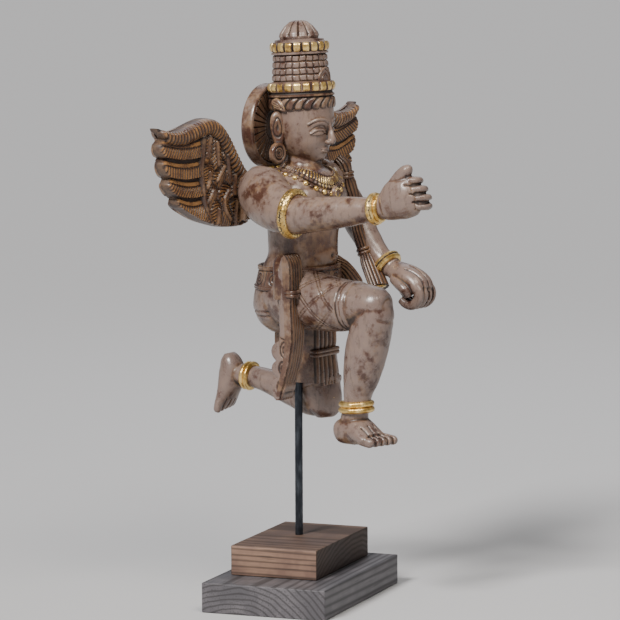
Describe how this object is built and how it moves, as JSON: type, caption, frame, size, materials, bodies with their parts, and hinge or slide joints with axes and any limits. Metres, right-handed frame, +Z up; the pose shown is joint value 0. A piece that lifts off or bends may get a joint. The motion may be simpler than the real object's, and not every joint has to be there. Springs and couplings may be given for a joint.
{
  "type": "wooden garuda statue",
  "caption": "Carved wooden winged garuda in a tall ringed crown, flying with one knee raised, held on an iron rod above a stepped wooden block base.",
  "frame": {"origin": "middle of the lower block's underside", "axes": "+Z up along the rod, +X along the base's long side, the figure looks towards -Y and its own left is +X"},
  "size_m": [0.3637, 0.2889, 0.582],
  "materials": {
    "figure_wood": "dark red-brown carved wood, waxed, grey-lilac on the high places, with worn gold paint on rings and bangles",
    "wing_wood": "dark carved wood with rubbed orange gold on the feathers",
    "rod_iron": "black iron, satin",
    "upper_block_wood": "dark stained block, lengthwise grain, satin",
    "lower_block_wood": "dark grey-brown stained block, open grain, satin"
  },
  "bodies": {
    "root": {"figure": "figure_wood", "wing_right": "wing_wood", "wing_left": "wing_wood", "rod": "rod_iron", "base_upper": "upper_block_wood", "base_lower": "lower_block_wood"}
  },
  "joints": []
}
